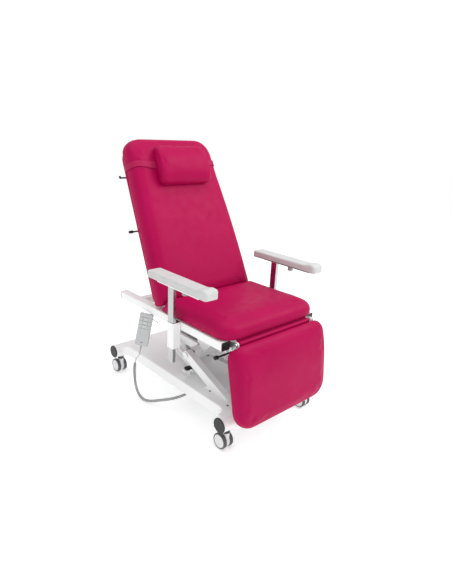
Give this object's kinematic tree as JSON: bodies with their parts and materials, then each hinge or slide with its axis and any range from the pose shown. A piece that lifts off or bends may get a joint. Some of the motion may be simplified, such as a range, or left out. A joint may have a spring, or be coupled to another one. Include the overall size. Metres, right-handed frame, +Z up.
{
  "type": "patient rest chair",
  "caption": "Mobile patient rest chair with padded seat, reclining back, folding leg rest, height-adjustable armrests, parallelogram lift base on swivel casters and a corded handset.",
  "frame": {"origin": "on the floor, under the middle of the outline", "axes": "+Z up, +X to the right armrest of a person seen from the front as image right, the chair faces -Y"},
  "size_m": [0.836, 1.1985, 1.4198],
  "materials": {
    "vinyl": "smooth coated upholstery with a fine grain",
    "white_coat": "white powder coat",
    "pad_moulding": "moulded integral foam, light grey",
    "dark_plastic": "moulded plastic",
    "light_plastic": "moulded plastic",
    "chrome_tube": "bright chrome",
    "zinc_steel": "zinc plated",
    "caster_wheel": "grey tread on a light hub",
    "black_rubber": "rubber",
    "grey_plastic": "moulded plastic",
    "cord_grey": "soft cable sheath",
    "key_plastic": "moulded plastic",
    "board": "black laminated plywood",
    "actuator_grey": "moulded housing"
  },
  "bodies": {
    "base": {"base_cross_tubes": "white_coat", "tube_end_caps": "dark_plastic", "base_pan": "white_coat", "lift_axle": "white_coat", "pivot_brackets": "white_coat", "buffer_pads": "black_rubber", "control_box": "actuator_grey", "base_screws": "zinc_steel", "cord_lead": "cord_grey", "curly_cord": "cord_grey"},
    "caster_front_left": {"caster_fork_front_left": "light_plastic"},
    "wheels_front_left": {"caster_wheels_front_left": "caster_wheel"},
    "brake_front_left": {"brake_pedal_front_left": "dark_plastic"},
    "caster_front_right": {"caster_fork_front_right": "light_plastic"},
    "wheels_front_right": {"caster_wheels_front_right": "caster_wheel"},
    "brake_front_right": {"brake_pedal_front_right": "dark_plastic"},
    "caster_rear_left": {"caster_fork_rear_left": "light_plastic"},
    "wheels_rear_left": {"caster_wheels_rear_left": "caster_wheel"},
    "caster_rear_right": {"caster_fork_rear_right": "light_plastic"},
    "wheels_rear_right": {"caster_wheels_rear_right": "caster_wheel"},
    "lift_arms": {"lift_arms": "white_coat"},
    "seat": {"seat_rails": "white_coat", "rail_end_caps": "dark_plastic", "seat_subframe": "white_coat", "seat_board": "board", "seat_cushion": "vinyl", "knee_roll": "vinyl", "armrest_sleeves": "white_coat", "sleeve_bushes": "dark_plastic", "handset_shell": "grey_plastic", "handset_strain_relief": "cord_grey", "handset_hanger": "zinc_steel"},
    "parallel_links": {"parallel_links": "white_coat"},
    "lift_actuator": {"lift_actuator": "actuator_grey"},
    "lift_rod": {"lift_rod": "zinc_steel"},
    "backrest": {"back_cushion": "vinyl", "back_board": "board", "back_frame": "white_coat", "paper_roll_bar": "zinc_steel"},
    "headrest": {"head_pillow": "vinyl", "pillow_strap": "vinyl"},
    "back_actuator": {"back_actuator": "actuator_grey"},
    "back_actuator_rod": {"back_actuator_rod": "zinc_steel"},
    "leg_rest": {"leg_cushion": "vinyl", "leg_frame": "white_coat"},
    "leg_gas_spring": {"leg_gas_spring": "zinc_steel"},
    "leg_spring_rod": {"leg_spring_rod": "zinc_steel"},
    "armrest_left": {"armrest_post_left": "chrome_tube", "armrest_plate_left": "white_coat"},
    "pad_left": {"armrest_pad_left": "pad_moulding"},
    "knob_left": {"armrest_knob_left": "dark_plastic"},
    "armrest_right": {"armrest_post_right": "chrome_tube", "armrest_plate_right": "white_coat"},
    "pad_right": {"armrest_pad_right": "pad_moulding"},
    "knob_right": {"armrest_knob_right": "dark_plastic"},
    "leg_release": {"leg_release_rod": "dark_plastic"},
    "back_release": {"back_release_rod": "dark_plastic"},
    "key_height": {"key_height": "key_plastic"},
    "key_back": {"key_back": "key_plastic"},
    "key_leg": {"key_leg": "key_plastic"}
  },
  "joints": [
    {"name": "swivel_front_left", "type": "hinge", "parent": "base", "child": "caster_front_left", "pos_m": [-0.301, -0.4552, 0.1035], "axis": [0, 0, 1], "continuous": true},
    {"name": "roll_front_left", "type": "hinge", "parent": "caster_front_left", "child": "wheels_front_left", "pos_m": [-0.301, -0.4382, 0.0415], "axis": [1, 0, 0], "continuous": true},
    {"name": "brake_press_front_left", "type": "hinge", "parent": "caster_front_left", "child": "brake_front_left", "pos_m": [-0.301, -0.4282, 0.0975], "axis": [-1, 0, 0], "range_deg": [0, 12]},
    {"name": "swivel_front_right", "type": "hinge", "parent": "base", "child": "caster_front_right", "pos_m": [0.301, -0.4552, 0.1035], "axis": [0, 0, 1], "continuous": true},
    {"name": "roll_front_right", "type": "hinge", "parent": "caster_front_right", "child": "wheels_front_right", "pos_m": [0.301, -0.4382, 0.0415], "axis": [1, 0, 0], "continuous": true},
    {"name": "brake_press_front_right", "type": "hinge", "parent": "caster_front_right", "child": "brake_front_right", "pos_m": [0.301, -0.4282, 0.0975], "axis": [-1, 0, 0], "range_deg": [0, 12]},
    {"name": "swivel_rear_left", "type": "hinge", "parent": "base", "child": "caster_rear_left", "pos_m": [-0.301, 0.5408, 0.1035], "axis": [0, 0, 1], "continuous": true},
    {"name": "roll_rear_left", "type": "hinge", "parent": "caster_rear_left", "child": "wheels_rear_left", "pos_m": [-0.301, 0.5578, 0.0415], "axis": [1, 0, 0], "continuous": true},
    {"name": "swivel_rear_right", "type": "hinge", "parent": "base", "child": "caster_rear_right", "pos_m": [0.301, 0.5408, 0.1035], "axis": [0, 0, 1], "continuous": true},
    {"name": "roll_rear_right", "type": "hinge", "parent": "caster_rear_right", "child": "wheels_rear_right", "pos_m": [0.301, 0.5578, 0.0415], "axis": [1, 0, 0], "continuous": true},
    {"name": "lift", "type": "hinge", "parent": "base", "child": "lift_arms", "pos_m": [0, -0.3862, 0.1575], "axis": [1, 0, 0], "range_deg": [-2.5, 30], "deforming": ["cord_lead", "curly_cord"]},
    {"name": "seat_level", "type": "hinge", "parent": "lift_arms", "child": "seat", "pos_m": [0, -0.0202, 0.3075], "axis": [1, 0, 0], "range_deg": [-30.5, 3]},
    {"name": "link_swing", "type": "hinge", "parent": "base", "child": "parallel_links", "pos_m": [0, -0.1732, 0.1425], "axis": [1, 0, 0], "range_deg": [-3, 30.5]},
    {"name": "lift_actuator_tilt", "type": "hinge", "parent": "base", "child": "lift_actuator", "pos_m": [0, 0.2478, 0.2195], "axis": [1, 0, 0], "range_deg": [-0.3, 2.1]},
    {"name": "lift_rod_slide", "type": "slide", "parent": "lift_actuator", "child": "lift_rod", "axis": [0, -0.9984, 0.0559], "range_m": [-0.0045, 0.048]},
    {"name": "back_recline", "type": "hinge", "parent": "seat", "child": "backrest", "pos_m": [0, 0.13852, 0.56882], "axis": [-1, 0, 0], "range_deg": [-4, 50]},
    {"name": "headrest_slide", "type": "slide", "parent": "backrest", "child": "headrest", "axis": [0, 0.4462, 0.8949], "range_m": [-0.025, 0.03]},
    {"name": "back_actuator_tilt", "type": "hinge", "parent": "seat", "child": "back_actuator", "pos_m": [0.045, -0.1522, 0.4815], "axis": [1, 0, 0], "range_deg": [-5.7, 0.6]},
    {"name": "back_rod_slide", "type": "slide", "parent": "back_actuator", "child": "back_actuator_rod", "axis": [0, 0.9891, 0.1473], "range_m": [-0.0505, 0.0045]},
    {"name": "leg_raise", "type": "hinge", "parent": "seat", "child": "leg_rest", "pos_m": [0, -0.4602, 0.5515], "axis": [-1, 0, 0], "range_deg": [0, 70]},
    {"name": "leg_spring_tilt", "type": "hinge", "parent": "seat", "child": "leg_gas_spring", "pos_m": [-0.055, -0.2462, 0.5065], "axis": [1, 0, 0], "range_deg": [-6.2, 0.2]},
    {"name": "leg_spring_slide", "type": "slide", "parent": "leg_gas_spring", "child": "leg_spring_rod", "axis": [0, -0.997, -0.0776], "range_m": [-0.001, 0.0685]},
    {"name": "armrest_height_left", "type": "slide", "parent": "seat", "child": "armrest_left", "axis": [0, 0, 1], "range_m": [-0.12, 0.06]},
    {"name": "armrest_pad_slide_left", "type": "slide", "parent": "armrest_left", "child": "pad_left", "axis": [0, 1, 0], "range_m": [-0.03, 0.03]},
    {"name": "knob_turn_left", "type": "hinge", "parent": "pad_left", "child": "knob_left", "pos_m": [-0.378, -0.2082, 0.7615], "axis": [0, 0, 1], "continuous": true},
    {"name": "armrest_height_right", "type": "slide", "parent": "seat", "child": "armrest_right", "axis": [0, 0, 1], "range_m": [-0.12, 0.06]},
    {"name": "armrest_pad_slide_right", "type": "slide", "parent": "armrest_right", "child": "pad_right", "axis": [0, 1, 0], "range_m": [-0.03, 0.03]},
    {"name": "knob_turn_right", "type": "hinge", "parent": "pad_right", "child": "knob_right", "pos_m": [0.378, -0.2082, 0.7615], "axis": [0, 0, 1], "continuous": true},
    {"name": "leg_release_pull", "type": "slide", "parent": "seat", "child": "leg_release", "axis": [-1, 0, 0], "range_m": [0, 0.015], "stiffness_N_per_m": 400},
    {"name": "back_release_pull", "type": "slide", "parent": "backrest", "child": "back_release", "axis": [-1, 0, 0], "range_m": [0, 0.015], "stiffness_N_per_m": 400},
    {"name": "key_rock_height", "type": "hinge", "parent": "seat", "child": "key_height", "pos_m": [-0.35979, 0.15832, 0.49518], "axis": [0.1308, -0.1219, 0.9839], "range_deg": [-4, 4], "stiffness_Nm_per_rad": 0.6},
    {"name": "key_rock_back", "type": "hinge", "parent": "seat", "child": "key_back", "pos_m": [-0.36267, 0.161, 0.47353], "axis": [0.1308, -0.1219, 0.9839], "range_deg": [-4, 4], "stiffness_Nm_per_rad": 0.6},
    {"name": "key_rock_leg", "type": "hinge", "parent": "seat", "child": "key_leg", "pos_m": [-0.36555, 0.16368, 0.45189], "axis": [0.1308, -0.1219, 0.9839], "range_deg": [-4, 4], "stiffness_Nm_per_rad": 0.6}
  ],
  "couplings": [
    {"joint": "seat_level", "follows": "lift", "ratio": -1},
    {"joint": "link_swing", "follows": "lift", "ratio": 1},
    {"joint": "lift_actuator_tilt", "follows": "lift", "ratio": 0.06193},
    {"joint": "lift_rod_slide", "follows": "lift", "m_per_rad": 0.089841},
    {"joint": "back_actuator_tilt", "follows": "back_recline", "ratio": -0.11156},
    {"joint": "back_rod_slide", "follows": "back_recline", "m_per_rad": -0.057102},
    {"joint": "leg_spring_tilt", "follows": "leg_raise", "ratio": -0.08553},
    {"joint": "leg_spring_slide", "follows": "leg_raise", "m_per_rad": 0.055356}
  ]
}
